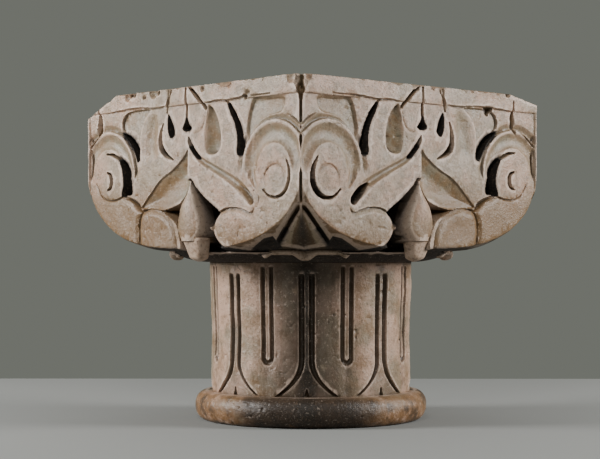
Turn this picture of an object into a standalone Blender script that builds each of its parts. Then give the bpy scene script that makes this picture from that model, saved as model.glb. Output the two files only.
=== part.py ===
"""Carved marble capital: square block on a round drum with a base ring, all one stone.

Metres, +Z up. The origin is at the centre of the underside. The faces look along -Y, +X, +Y
and -X, and the corner between the -Y and +X faces is the front corner.
"""
import math

import bmesh
import bpy
import numpy as np

# Main sizes, in metres
BLOCK_SIDE = 0.2790
BLOCK_HEIGHT = 0.1440
DRUM_HEIGHT = 0.1110
RING_HEIGHT = 0.0250
RING_RADIUS = 0.1015
RING_BED_RADIUS = 0.0900
DRUM_FOOT_RADIUS = 0.0884
DRUM_WAIST_RADIUS = 0.0872
DRUM_HEAD_RADIUS = 0.0892

# The bowl under the block: a quarter ellipse turned about the axis
BOWL_HEIGHT = 0.0740
BOWL_NECK_RADIUS = 0.1230
BOWL_NECK_RISE = 0.0090

# Left and right corners of the top, which are broken off: how far in along the diagonal, and
# how far down
LEFT_BREAK = (0.0290, 0.0185)
RIGHT_BREAK = (0.0240, 0.0080)

# Knob under the drop at the middle of each face
KNOB_DROP = 0.0005
KNOB_SHELF = 0.0200
KNOB_WIDTH = 0.0270
KNOB_TIP_WIDTH = 0.0130
KNOB_INSET = 0.0110
KNOB_OUT = 0.0160

# Double curl under each corner
CURL_SPAN = 0.0330
CURL_PAST_NECK = 0.0010
CURL_SEAT = 0.0015
CURL_FOOT = 0.0013
CURL_SAG = 0.0033
CURL_THICKNESS = 0.0088

# Carving on the drum
DRUM_LEAVES = 8
DRUM_GROOVE_DEPTH = 0.0035
DRUM_SLOT_DEPTH = 0.0032

# The faces are drawn in parts: the carving stretches with the block
PARTS_ACROSS = 320.0
PARTS_HIGH = 165.0
HALF = PARTS_ACROSS / 2
CENTRE_SHIFT = -3.0
NEAR_OFFSET = 2.2

# Fineness of the carved surface
CURVE_STEPS = 5
FACE_STEP = 2.0
ROW_STEP = 2.0
TRIANGLES = 8000
BED_TRUE = 0.0003

BLOCK_CORNER = BLOCK_SIDE / math.sqrt(2.0)
CORNER_TURN = 0.35
PART = BLOCK_SIDE / PARTS_ACROSS
RISE = BLOCK_HEIGHT / PARTS_HIGH
BLOCK_BOTTOM = RING_HEIGHT + DRUM_HEIGHT
TOP = BLOCK_BOTTOM + BLOCK_HEIGHT


def smooth_step(x):
    """Rise smoothly from 0 at x = 0 to 1 at x = 1."""
    x = np.clip(x, 0.0, 1.0)
    return x * x * (3.0 - 2.0 * x)


def through(knots, closed=False):
    """Smooth curve through the knots, as rows of the same columns."""
    knots = np.array(knots, dtype=float)
    count = len(knots)
    rows = []
    for i in range(count if closed else count - 1):
        if closed:
            a, b, c, d = (knots[(i + k) % count] for k in (-1, 0, 1, 2))
        else:
            a, b, c, d = (knots[min(max(i + k, 0), count - 1)] for k in (-1, 0, 1, 2))
        for k in range(CURVE_STEPS):
            t = k / CURVE_STEPS
            rows.append(0.5 * (2 * b + (c - a) * t + (2 * a - 5 * b + 4 * c - d) * t ** 2
                               + (3 * b - a - 3 * c + d) * t ** 3))
    if not closed:
        rows.append(knots[-1])
    return np.array(rows)


def segment_distance(u, v, start, end):
    """Distance to a straight segment, and how far along it the nearest point is."""
    du = end[0] - start[0]
    dv = end[1] - start[1]
    length = max(du * du + dv * dv, 1e-9)
    t = np.clip(((u - start[0]) * du + (v - start[1]) * dv) / length, 0.0, 1.0)
    return np.hypot(u - start[0] - t * du, v - start[1] - t * dv), t


def close_to(u, v, points, margin):
    """Where u, v is in the box round the points, widened by the margin."""
    low = points[:, :2].min(axis=0) - margin
    high = points[:, :2].max(axis=0) + margin
    return (u > low[0]) & (u < high[0]) & (v > low[1]) & (v < high[1])


def groove(u, v, knots, depth):
    """Depth of a groove along knots of (u, v, half width); it is shallow where it is narrow."""
    path = through(knots)
    widest = path[:, 2].max()
    cut = np.zeros(u.shape)
    where = close_to(u, v, path, widest)
    u = u[where]
    v = v[where]
    best = np.zeros(u.shape)
    for start, end in zip(path[:-1], path[1:]):
        distance, t = segment_distance(u, v, start, end)
        half = np.maximum(start[2] + t * (end[2] - start[2]), 0.3)
        shape = np.clip(1.0 - (distance / half) ** 2, 0.0, 1.0)
        best = np.maximum(best, shape * np.clip(half / widest, 0.0, 1.0) ** 0.5)
    cut[where] = depth * best
    return cut


def inside(u, v, knots):
    """Distance to a closed outline through knots of (u, v), positive inside it."""
    outline = through(knots, closed=True)
    result = np.full(u.shape, -99.0)
    where = close_to(u, v, outline, 12.0)
    u = u[where]
    v = v[where]
    distance = np.full(u.shape, 1e3)
    odd = np.zeros(u.shape, dtype=bool)
    for start, end in zip(outline, np.roll(outline, -1, axis=0)):
        distance = np.minimum(distance, segment_distance(u, v, start, end)[0])
        crosses = (start[1] > v) != (end[1] > v)
        level = end[1] - start[1]
        level = level if abs(level) > 1e-9 else 1e-9
        side = start[0] + (v - start[1]) * (end[0] - start[0]) / level
        odd ^= crosses & (u < side)
    result[where] = np.where(odd, distance, -distance)
    return result


def pocket(u, v, knots, depth, wall):
    """Depth of a pocket with sloping walls of the given width."""
    return depth * smooth_step(inside(u, v, knots) / wall)


def dome(u, v, middle, radius, low, high):
    """Depth over a round disc: low at its middle, high at its edge, nothing outside."""
    reach = np.hypot(u - middle[0], v - middle[1]) / radius
    return np.where(reach < 1.0, low + (high - low) * reach ** 2, 0.0)


def pillow(u, v, knots, deep, wall):
    """Depth inside an outline: deep at its edge, running out over the width of the wall."""
    within = inside(u, v, knots)
    return np.where(within > 0.0, deep * (1.0 - smooth_step(within / wall)), 0.0)


def deepest(*cuts):
    """The deepest of several cuts at each point."""
    cut = cuts[0]
    for other in cuts[1:]:
        cut = np.maximum(cut, other)
    return cut


def scroll(u, v, middle, eye, rim, outside):
    """Channel of a volute: deepest against its eye, rising to its rim, with a step outside."""
    reach = np.hypot(u - middle[0], v - middle[1])
    share = np.clip((reach - eye) / (rim - eye), 0.0, 1.0)
    channel = 4.4 * (1.0 - share) ** 1.3 * smooth_step((reach - eye) / 1.2)
    step = outside * smooth_step((reach - rim) / 1.4) * (1.0 - smooth_step((reach - rim - 2.0) / 9.0))
    upper = smooth_step((v - middle[1] + 14.0) / 18.0) * smooth_step((152.0 - v) / 8.0)
    return (channel + step) * upper


def near_half(u, v):
    """Carving between the middle of a face and the front or back corner."""
    fascia = 1.8 * smooth_step((148.5 - v) / 1.2)
    line = groove(u, v, [(26, 147, 0.8), (44, 148, 1.4), (62, 147.5, 1.4), (90, 149.5, 1.2),
                         (118, 149.5, 0.6)], 2.8)
    bud = groove(u, v, [(3, 166, 1.0), (13, 157, 2.4), (27, 143, 2.2)], 7.0)
    scoop_rim = [(31, 146), (39, 141), (46, 129), (49, 115), (47, 104), (39, 99), (29, 100),
                 (24, 109), (23.5, 124), (27, 137)]
    scoop = pocket(u, v, scoop_rim, 4.5, 2.4) + pocket(u, v, scoop_rim, 5.5, 11.0)
    bud_foot = groove(u, v, [(3, 123, 1.0), (12, 120, 1.8), (22, 125, 2.2), (27, 140, 1.6)], 2.6)
    slit = pocket(u, v, [(58, 146), (66, 140), (76, 127), (81, 112), (80, 99), (75, 96.5),
                         (71, 99), (71.5, 113), (68, 126), (62, 136)], 30.0, 1.8)
    slit_start = groove(u, v, [(54, 148, 0.8), (61, 144, 2.0), (70, 133, 2.6)], 6.0)
    # Panel between the slit, the fascia and the volute
    panel = pocket(u, v, [(93, 147), (112, 148), (136, 146), (131, 132), (108, 127), (93, 116),
                          (87, 108), (84, 122)], 2.6, 3.5)
    volute = scroll(u, v, (121, 84), 21.0, 41.0, 4.2)
    flank = groove(u, v, [(96, 104, 4.0), (92, 92, 7.0), (93, 78, 7.0), (99, 66, 3.0)], 4.0)
    crescent = groove(u, v, [(135, 93, 0.8), (140, 84, 2.6), (141, 73, 4.0), (136, 63, 3.8),
                             (126, 58, 2.8), (115, 59, 1.8), (106, 66, 1.0)], 12.0)
    disc = dome(u, v, (121, 80), 20.0, 2.4, 0.4)
    # Long waving channel between the two leaves, deepest at both ends
    channel = groove(u, v, [(0, 117, 1.8), (8, 106, 3.4), (20, 95, 4.4), (40, 86, 4.8),
                            (60, 77, 5.6), (76, 68, 6.6), (88, 58, 6.0), (91, 55, 4.5)], 7.0)
    start = groove(u, v, [(0, 117, 1.6), (6, 108, 3.0), (16, 97.5, 2.0)], 18.0)
    end = groove(u, v, [(70, 71, 2.0), (82, 63, 4.4), (90, 55, 3.6)], 11.0)
    horn = groove(u, v, [(138, 131, 0.8), (148, 125, 2.2), (162, 114, 2.0)], 4.5)
    leaf_edge = pillow(u, v, [(4, 78), (10, 92), (28, 84), (52, 73), (72, 60), (84, 52), (62, 52),
                              (46, 46), (24, 62)], 2.6, 7.0)
    return deepest(fascia, line, bud, scoop + fascia, bud_foot, slit, slit_start, panel + fascia,
                   volute, flank, crescent, disc, channel, start, end, horn, leaf_edge)


def far_half(u, v, lean):
    """Carving between the middle of a face and the left or right corner."""
    fascia = 1.8 * smooth_step((148.5 - v) / 1.2)
    line = groove(u, v, [(34, 148, 0.8), (50, 147, 1.4), (80, 149, 1.4), (112, 148, 1.2),
                         (128, 147, 0.8)], 2.8)
    bud = groove(u, v, [(23, 165, 0.8), (29, 152, 1.6), (32, 142, 1.8)], 3.4)
    slit = pocket(u, v, [(29, 141), (24, 134), (19.5, 124), (21.5, 119), (27, 118), (30.5, 125),
                         (31, 135)], 20.0, 2.0)
    curl = pillow(u, v, [(2, 112), (10, 120), (22, 116), (34, 128), (37, 116), (32, 104),
                         (20, 98), (8, 102)], 2.2, 9.0)
    crescent = groove(u, v, [(38, 132, 0.8), (42, 121, 2.6), (41, 110, 3.8), (34, 102.5, 3.0),
                             (22, 97, 0.8)], 14.0)
    # Gently dished leaf with a sharp outer edge, and the lower panel beyond it
    leaf = pocket(u, v, [(45, 140), (54, 146), (66, 137), (72, 124), (73, 104), (66, 96),
                         (48, 98), (43, 120)], 2.6, 14.0)
    panel = pocket(u, v, [(59, 147), (68.5, 137.5), (74.5, 125), (75.5, 110), (75, 100),
                          (79, 99), (86, 110), (94, 120), (104, 129), (106, 138), (98, 146),
                          (80, 148)], 2.8, 1.2)
    notch = pocket(u, v, [(84, 150), (100, 150), (93, 139)], 8.0, 3.0)
    long_slit = pocket(u, v, [(109, 127), (100, 126), (90, 121.5), (81, 113), (75, 102),
                              (76.5, 97.5), (82.5, 98), (88, 107), (95, 116), (103, 122.5)],
                       28.0, 1.8)
    slit_start = groove(u, v, [(124, 129, 0.8), (112, 127.5, 2.2), (100, 123, 3.4)], 6.5)
    volute = scroll(u, v, (127, 86), 25.0, 42.0, 4.4)
    deep = pocket(u, v, [(114, 104), (107, 102), (100, 96.5), (93, 86), (88.5, 74), (88.5, 66),
                         (97, 64.5), (107, 65), (104, 77), (106, 89), (110, 98)], 30.0, 2.0)
    deep_start = groove(u, v, [(132, 107, 0.8), (122, 106, 2.0), (112, 102, 2.6)], 8.0)
    under = groove(u, v, [(105, 64, 1.8), (116, 61, 1.6), (129, 61, 1.4), (141, 66, 1.2),
                          (149, 78, 0.8)], 4.2)
    ring = dome(u, v, (125, 82), 21.0, 2.2, 0.2)
    eye = groove(u, v, [(129, 92, 0.8), (121, 88, 2.6), (117, 80, 3.6), (119, 72, 2.8),
                        (127, 68, 1.2)], 9.0)
    # Hollow leaf under its bright ridge, and the dark wedge behind the stem
    hollow_rim = [(1, 105), (9, 98), (25, 88), (44, 79), (58, 68), (68, 59), (74, 51.5),
                  (56, 51), (34, 49), (22, 49), (11, 58), (3, 76)]
    hollow = pocket(u, v, hollow_rim, 3.5, 1.6) + pocket(u, v, hollow_rim, 5.0, 16.0)
    wedge = groove(u, v, [(103, 64.5, 0.8), (91, 60.5, 2.6), (80, 54.5, 4.2), (73, 48, 1.6)], 12.0)
    slot_place = u - 8.0 * lean
    corner_slot = groove(slot_place, v, [(136, 158, 0.9), (136, 149, 1.5), (135.5, 141, 4.0),
                                         (137, 132, 4.0), (141, 126, 1.4)], 11.0)
    horn = groove(u, v, [(122, 131, 0.8), (134, 131, 2.0), (148, 124, 2.0), (163, 112, 1.4)], 4.5)
    return deepest(fascia, line, bud, slit, curl, crescent, leaf + fascia, panel + fascia,
                   notch, long_slit, slit_start, volute, deep, deep_start, under, ring, eye,
                   hollow, wedge, corner_slot, horn)


def lower_lobes(u, v, far):
    """Rounded lobes along the bottom of a half face: the end lobe and the volute's stem."""
    near_end = [(37, -12), (35, 16), (35, 30), (38, 41), (48, 49), (62, 52), (77, 51), (91, 47),
                (88, 34), (81, 16), (76, -12)]
    near_stem = [(74, -12), (79, 16), (86, 34), (90, 48), (98, 54), (108, 58), (124, 54),
                 (140, 58), (170, 62), (180, 20), (150, -12)]
    far_end = [(16, -12), (16, 18), (20, 32), (28, 42), (40, 49), (52, 52), (64, 52), (75, 48.5),
               (80.5, 36), (80, 16), (75, -12)]
    far_stem = [(73, -12), (78, 16), (79, 36), (74.5, 48), (84, 55), (95, 61), (107, 63.5),
                (124, 61), (142, 64), (170, 68), (180, 20), (150, -12)]
    near = deepest(pillow(u, v, near_end, 5.0, 13.0), pillow(u, v, near_stem, 4.6, 11.0))
    away = deepest(pillow(u, v, far_end, 5.0, 13.0), pillow(u, v, far_stem, 4.6, 11.0))
    return np.where(far, away, near)


def middle(p, v, cut):
    """Bud pair at the top and the deep recess with its hanging drop; p grows to the near side."""
    cut = np.maximum(cut, groove(p, v, [(0, 167, 1.2), (-0.5, 150, 1.6), (-1, 136, 2.0)], 7.0))
    eye = [(-1, 138), (3, 130), (7, 125), (0, 122), (-8, 125), (-5, 131)]
    cut = np.maximum(cut, pocket(p, v, eye, 16.0, 2.4))
    lobes = pillow(p, v, [(-26, 168), (-29, 148), (-24, 136), (-16, 126), (-7, 130), (-1, 140),
                          (8, 128), (14, 124), (22, 132), (24, 145), (4, 168)], 2.4, 7.0)
    cut = np.maximum(cut, lobes)
    near_recess = [(3, 79), (14, 70), (28, 59), (46, 47), (40, 39), (34, 31), (35, 16), (35, -6),
                   (-6, -6), (-6, 60)]
    far_recess = [(3, 79), (6, 60), (6, -6), (-14, -6), (-15, 14), (-19, 28), (-28, 39),
                  (-44, 48.5), (-27, 50), (-14, 59), (-4, 72)]
    cut = np.maximum(cut, pocket(p, v, near_recess, 38.0, 5.0))
    cut = np.maximum(cut, pocket(p, v, far_recess, 36.0, 3.0))
    # The drop: widest low down, pointed at its top, flush with the face
    height = np.clip((v - 21.0) / 57.0, 0.0, 1.0)
    width = 17.0 * np.minimum(smooth_step((height + 0.30) / 0.50),
                              (1.0 - smooth_step((height - 0.20) / 0.82)) ** 0.75)
    side = np.abs(p + 1.6 - 2.0 * smooth_step((height - 0.5) / 0.5))
    share = np.clip(side / np.maximum(width, 0.5), 0.0, 1.0)
    front = 0.2 + 5.0 * smooth_step((height - 0.5) / 0.5) + 3.0 * smooth_step(0.2 - height)
    drop = front + 6.5 * (1.0 - np.sqrt(1.0 - share ** 2)) + 26.0 * smooth_step(
        (side - width + 0.5) / 3.0)
    return np.where((side < width + 2.5) & (v > 18.0) & (v < 79.0), np.minimum(cut, drop), cut)


def face_relief(u, v, lean):
    """Depth of the carving, in parts, at u across and v up one face; lean is the near side."""
    p = lean * (u - CENTRE_SHIFT * (1.0 - np.abs(u) / HALF)) - NEAR_OFFSET
    far = p < 0.0
    side = np.abs(p)
    cut = np.where(far, far_half(side, v, lean), near_half(side, v))
    cut = np.maximum(cut, lower_lobes(side, v, far))
    cut = middle(p, v, cut)
    edge = smooth_step((HALF - 0.5 - np.abs(u)) / 3.0)
    return cut * edge * smooth_step((PARTS_HIGH - v) / 1.5)


def corner_relief(t, v, near):
    """Depth along the diagonal, in parts, at t from it: cleft, nose leaf and its grooves."""
    side = np.abs(t)
    broken = 2.4 * smooth_step((v - 138.0) / 20.0)
    width = np.where(near, 2.6 + broken, 1.5)
    deep = np.where(near, 8.0 + broken, 2.0)
    cleft = deep * np.clip(1.0 - (side / width) ** 2, 0.0, 1.0) * smooth_step((v - 50.0) / 6.0)
    # Nose leaf, keeled at the diagonal, between two grooves, with its lower edge hanging free
    width = np.clip((52.0 - v) * 0.66, 0.0, 21.0)
    share = side / np.maximum(width, 0.5)
    nose = 2.0 + 3.0 * np.clip(share, 0.0, 1.0) + 7.0 * smooth_step((share - 0.72) / 0.28)
    nose = nose * smooth_step((1.25 - share) / 0.25) * smooth_step(width / 4.0)
    hollow = 12.0 * smooth_step((20.0 - v) / 4.0) * smooth_step((30.0 - side) / 14.0)
    return deepest(cleft, nose, hollow)


def drum_relief(angle, share):
    """Depth on the drum, in metres, by angle from a corner and share of the drum's height."""
    pitch = 2 * math.pi / DRUM_LEAVES
    beat = np.degrees(np.abs((angle + pitch / 2) % pitch - pitch / 2))
    flare = 2.2 + 14.5 * np.clip(1.0 - share / 0.24, 0.0, 1.0) ** 1.6
    pair = np.clip(1.0 - ((beat - flare) / 1.6) ** 2, 0.0, 1.0)
    pair = pair * smooth_step((0.93 - share) / 0.04) * smooth_step(share / 0.02)
    spandrel = 0.6 * smooth_step((flare - beat) / 1.5) * smooth_step((0.22 - share) / 0.05)
    gap = np.degrees(np.abs(angle % pitch - pitch / 2))
    slot = np.clip(1.0 - ((gap - 2.4) / 1.5) ** 2, 0.0, 1.0) * smooth_step((share - 0.26) / 0.05)
    foot = np.clip(1.0 - (np.hypot(gap, (share - 0.27) * 62.0) / 3.8) ** 2, 0.0, 1.0)
    slot = np.maximum(slot, foot) * smooth_step((0.98 - share) / 0.03)
    return np.maximum(DRUM_GROOVE_DEPTH * np.maximum(pair, spandrel), DRUM_SLOT_DEPTH * slot)


def profile_rows(step):
    """Rows of (turned radius, height, share of the drum) from the underside to the top."""
    rows = [(RING_BED_RADIUS * k / 4, 0.0, -1.0) for k in range(1, 5)]
    bulge = RING_RADIUS - RING_BED_RADIUS
    turns = 14
    for k in range(1, turns):
        a = math.pi * k / turns
        rows.append((RING_BED_RADIUS + bulge * math.sin(a) ** 0.8,
                     RING_HEIGHT * (1.0 - math.cos(a)) / 2, -1.0))
    count = max(int(DRUM_HEIGHT / (step * RISE * 1.2)), 8)
    for k in range(count + 1):
        share = k / count
        radius = np.interp(share, (0.0, 0.45, 1.0),
                           (DRUM_FOOT_RADIUS, DRUM_WAIST_RADIUS, DRUM_HEAD_RADIUS))
        rows.append((radius, RING_HEIGHT + DRUM_HEIGHT * share, share))
    neck = 10
    for k in range(1, neck + 1):
        share = k / neck
        rows.append((DRUM_HEAD_RADIUS + (BOWL_NECK_RADIUS - DRUM_HEAD_RADIUS) * share,
                     BLOCK_BOTTOM + BOWL_NECK_RISE * share ** 2, -1.0))
    rest = BLOCK_HEIGHT - BOWL_NECK_RISE
    count = int(rest / (step * RISE))
    for k in range(1, count + 1):
        rise = rest * k / count
        share = np.clip(1.0 - rise / (BOWL_HEIGHT - BOWL_NECK_RISE), 0.0, 1.0)
        radius = BOWL_NECK_RADIUS + (BLOCK_CORNER - BOWL_NECK_RADIUS) * math.sqrt(
            1.0 - share ** 2)
        radius = radius if rise < BOWL_HEIGHT - BOWL_NECK_RISE else BLOCK_SIDE
        rows.append((radius, BLOCK_BOTTOM + BOWL_NECK_RISE + rise, -1.0))
    return np.array(rows)


def carved_points(rows, columns):
    """Points of the carved surface, one ring for each row."""
    radius, height, share = (rows[:, k, None] for k in range(3))
    quarter = np.repeat(np.arange(4), len(columns))
    turn = np.tile(np.arctan(columns / HALF), 4)
    square = BLOCK_SIDE / 2 / np.cos(turn)
    reach = np.minimum(radius, square[None, :])
    flat = reach * np.cos(turn)
    u = reach * np.sin(turn)
    v = (height - BLOCK_BOTTOM) / RISE
    carved = smooth_step((v - 9.0) / 3.0) * np.ones_like(u)
    v = v * np.ones_like(u)
    lean = np.where(quarter % 2 == 0, 1.0, -1.0) * np.ones_like(u)
    depth = face_relief(u / PART, v, lean) * PART * carved
    off = np.sqrt(0.5) * (flat - np.abs(u))
    corner = corner_relief(off / PART, v, u * lean > 0.0) * PART * carved
    corner = np.where(np.abs(turn) > CORNER_TURN, corner, 0.0)
    flat = flat - depth
    # Broken top corners
    which = (quarter + (u > 0)) % 4
    for index, (across, down) in ((0, LEFT_BREAK), (2, RIGHT_BREAK)):
        limit = BLOCK_CORNER - across * (1.0 - (TOP - height) / down)
        past = np.sqrt(0.5) * (flat + np.abs(u)) - corner - limit
        corner = corner + np.where((which == index) & (past > 0.0), past, 0.0)
    flat = flat - corner * np.sqrt(0.5)
    u = u - np.sign(u) * corner * np.sqrt(0.5)
    angle = quarter * math.pi / 2 - math.pi / 2
    x = flat * np.cos(angle) - u * np.sin(angle)
    y = flat * np.sin(angle) + u * np.cos(angle)
    around = np.arctan2(y, x)
    dig = np.where(share >= 0.0, drum_relief(around + math.pi / 4, np.clip(share, 0, 1)), 0.0)
    scale = 1.0 - dig / np.maximum(np.hypot(x, y), 1e-6)
    return np.stack([x * scale, y * scale, height * np.ones_like(x)], axis=2)


def skin(work, rings, first, last):
    """Close a stack of rings, lowest first and turning with +Z, between two end points."""
    rings = [[work.verts.new(point) for point in ring] for ring in rings]
    first = work.verts.new(first)
    last = work.verts.new(last)
    around = len(rings[0])
    for i in range(around):
        j = (i + 1) % around
        work.faces.new((rings[0][j], rings[0][i], first))
        work.faces.new((rings[-1][i], rings[-1][j], last))
        for low, high in zip(rings[:-1], rings[1:]):
            work.faces.new((low[i], low[j], high[j], high[i]))


def finish_mesh(name, work):
    """Mesh from the bmesh, which is freed."""
    mesh = bpy.data.meshes.new(name)
    work.to_mesh(mesh)
    work.free()
    return mesh


def carved_body():
    """Closed mesh of the whole carved stone, thinned where it is plain."""
    half = np.linspace(0.0, HALF, int(HALF / FACE_STEP) + 1)
    columns = np.concatenate([-half[::-1], half[1:-1]])
    work = bmesh.new()
    skin(work, carved_points(profile_rows(ROW_STEP), columns), (0.0, 0.0, 0.0), (0.0, 0.0, TOP))
    raw = bpy.data.objects.new("raw", finish_mesh("raw", work))
    bpy.context.collection.objects.link(raw)
    thin = raw.modifiers.new("thin", "DECIMATE")
    thin.ratio = TRIANGLES / sum(len(face.vertices) - 2 for face in raw.data.polygons)
    mesh = bpy.data.meshes.new_from_object(raw.evaluated_get(
        bpy.context.evaluated_depsgraph_get()))
    bpy.data.objects.remove(raw)
    # Bring the beds and the faces back to their true planes
    half_side = BLOCK_SIDE / 2
    for vertex in mesh.vertices:
        vertex.co.x = min(max(vertex.co.x, -half_side), half_side)
        vertex.co.y = min(max(vertex.co.y, -half_side), half_side)
        for bed in (0.0, TOP):
            if abs(vertex.co.z - bed) < BED_TRUE:
                vertex.co.z = bed
    return mesh


def placed(turn, out, across, height):
    """Point at a distance out along the direction turn, and across it."""
    return (out * math.cos(turn) - across * math.sin(turn),
            out * math.sin(turn) + across * math.cos(turn), height)


def add_knob(work, turn):
    """Tapered block that hangs under the drop of one face."""
    low = BLOCK_BOTTOM + KNOB_DROP
    high = BLOCK_BOTTOM + KNOB_SHELF
    out = BLOCK_SIDE / 2 - KNOB_INSET
    rings = []
    for share, width, depth in ((0.0, 0.8, 0.6), (0.08, 1.0, 0.8), (1.0, 1.0, 1.0)):
        wide = (KNOB_TIP_WIDTH + (KNOB_WIDTH - KNOB_TIP_WIDTH) * share) / 2 * width
        deep = KNOB_OUT / 2 * (0.7 + 0.3 * share) * depth
        ring = []
        for k in range(12):
            a = 2 * math.pi * (k + 0.5) / 12
            c, s = math.cos(a), math.sin(a)
            ring.append(placed(turn, out - 0.004 * (1.0 - share) + deep * math.copysign(
                abs(c) ** 0.6, c), wide * math.copysign(abs(s) ** 0.6, s),
                low + (high - low) * share))
        rings.append(ring)
    skin(work, rings, placed(turn, out - 0.004, 0.0, low - 0.0004), placed(turn, out, 0.0, high))


def add_curls(work, turn):
    """Double curl under one corner, a bent roll whose top is seated in the underside."""
    rings = []
    top = BLOCK_BOTTOM + BOWL_NECK_RISE + CURL_SEAT
    for share in np.linspace(-1.0, 1.0, 13):
        side = abs(share)
        foot = BLOCK_BOTTOM + CURL_FOOT - CURL_SAG * (1.0 - smooth_step(side / 0.5))
        slim = 1.0 - 0.35 * smooth_step((side - 0.8) / 0.2)
        thick = CURL_THICKNESS / 2 * slim
        tall = (top - foot) / 2
        out = BOWL_NECK_RADIUS + CURL_PAST_NECK - thick - 0.010 * share ** 2
        ring = []
        for k in range(7):
            a = 2 * math.pi * k / 7
            ring.append(placed(turn, out + thick * math.sin(a), CURL_SPAN * share,
                               foot + tall + tall * slim * math.cos(a)))
        rings.append(ring)
    end = BOWL_NECK_RADIUS + CURL_PAST_NECK - 0.013
    skin(work, rings, placed(turn, end, -CURL_SPAN * 1.08, foot + tall),
         placed(turn, end, CURL_SPAN * 1.08, foot + tall))


def hanging_forms():
    """Knobs and curls, as one object that the carved stone takes in."""
    work = bmesh.new()
    for k in range(4):
        add_knob(work, k * math.pi / 2)
        add_curls(work, k * math.pi / 2 + math.pi / 4)
    forms = bpy.data.objects.new("hanging_forms", finish_mesh("hanging_forms", work))
    bpy.context.collection.objects.link(forms)
    forms.hide_render = True
    forms.display_type = "WIRE"
    return forms


def marble():
    """Satin, slightly warm grey marble."""
    material = bpy.data.materials.new("marble")
    material.use_nodes = True
    shader = material.node_tree.nodes["Principled BSDF"]
    shader.inputs["Base Color"].default_value = (0.42, 0.34, 0.28, 1.0)
    shader.inputs["Roughness"].default_value = 0.5
    shader.inputs["Metallic"].default_value = 0.0
    return material


def main():
    for old in list(bpy.data.objects):
        bpy.data.objects.remove(old)
    mesh = carved_body()
    mesh.materials.append(marble())
    capital = bpy.data.objects.new("capital", mesh)
    bpy.context.collection.objects.link(capital)
    union = capital.modifiers.new("hanging forms", "BOOLEAN")
    union.operation = "UNION"
    union.object = hanging_forms()


main()
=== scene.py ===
"""Carved marble capital on a pale studio floor, seen towards its front corner.

The solid model is the frame. The marble here is one fine mesh that stands for it, worked out
from the same turned profile and the same carving, drawn in parts of a face: 320 parts across
and 165 parts high.
"""
import math

import bmesh
import bpy
import numpy as np
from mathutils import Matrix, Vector


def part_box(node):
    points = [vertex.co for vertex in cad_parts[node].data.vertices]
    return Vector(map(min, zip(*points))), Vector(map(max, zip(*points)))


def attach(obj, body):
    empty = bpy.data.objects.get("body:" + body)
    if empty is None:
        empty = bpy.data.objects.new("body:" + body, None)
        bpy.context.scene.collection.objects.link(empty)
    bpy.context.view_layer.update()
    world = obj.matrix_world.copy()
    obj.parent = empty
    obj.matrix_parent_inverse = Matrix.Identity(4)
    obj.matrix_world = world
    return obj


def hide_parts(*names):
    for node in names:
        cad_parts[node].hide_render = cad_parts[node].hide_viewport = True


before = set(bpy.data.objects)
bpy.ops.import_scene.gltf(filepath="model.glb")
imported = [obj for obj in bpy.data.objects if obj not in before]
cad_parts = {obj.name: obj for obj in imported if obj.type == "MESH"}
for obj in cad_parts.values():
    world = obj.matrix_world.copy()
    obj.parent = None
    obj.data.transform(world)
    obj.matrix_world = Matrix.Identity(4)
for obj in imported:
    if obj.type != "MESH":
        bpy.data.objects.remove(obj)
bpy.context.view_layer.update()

# Main sizes, in metres
LOW, HIGH = (Vector(corner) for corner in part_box("capital"))
BLOCK_SIDE = HIGH.x - LOW.x
TOP = HIGH.z
BLOCK_HEIGHT = 0.1440
RING_HEIGHT = 0.0250
RING_RADIUS = 0.1015
RING_BED_RADIUS = 0.0900
DRUM_FOOT_RADIUS = 0.0884
DRUM_WAIST_RADIUS = 0.0872
DRUM_HEAD_RADIUS = 0.0892
BLOCK_BOTTOM = TOP - BLOCK_HEIGHT
DRUM_HEIGHT = BLOCK_BOTTOM - RING_HEIGHT

# The bowl under the block: a quarter ellipse turned about the axis
BLOCK_CORNER = BLOCK_SIDE / math.sqrt(2.0)
BOWL_HEIGHT = 0.0740
BOWL_NECK_RADIUS = 0.1230
BOWL_NECK_RISE = 0.0090

# Corners of the top that are broken off: how far in along the diagonal, and how far down
LEFT_BREAK = (0.0290, 0.0185)
RIGHT_BREAK = (0.0240, 0.0080)

# The flat bed of the top starts this far inside its ragged edge
BED_INSET = 0.0040

# Bites out of the two seen faces: quarter, then place across, height, radius and depth in parts
CHIPS = (
    (0, -83, 164, 4.0, 7.5),
    (0, -89, 163, 3.4, 6.0),
    (0, -94, 161, 4.5, 3.0),
    (0, -52, 163, 6.5, 4.0),
    (0, -44, 163, 3.6, 5.0),
    (0, -66, 160, 3.0, 2.4),
    (0, 24, 161, 3.2, 2.2),
    (0, 62, 163, 4.5, 2.2),
    (0, 88, 152, 4.0, 3.0),
    (0, 84, 149, 3.4, 4.5),
    (0, 148, 162, 6.0, 2.4),
    (0, 157, 160, 7.0, 7.5),
    (1, 117, 166, 5.0, 6.0),
    (1, 8, 165, 3.0, 2.6),
    (1, 49, 73, 2.6, 2.6),
    (1, -14, 87, 1.3, 2.6),
    (1, -120, 149, 2.4, 1.6),
    (1, -152, 164, 6.0, 3.0),
    (1, -158, 158, 7.0, 6.0),
)

# Knob under the drop at the middle of each face
KNOB_DROP = 0.0005
KNOB_SHELF = 0.0200
KNOB_WIDTH = 0.0270
KNOB_TIP_WIDTH = 0.0130
KNOB_INSET = 0.0110
KNOB_OUT = 0.0160
KNOB_LEAN = 0.0040
KNOB_SQUARENESS = 0.6
KNOB_RINGS = 16
KNOB_POINTS = 40

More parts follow.
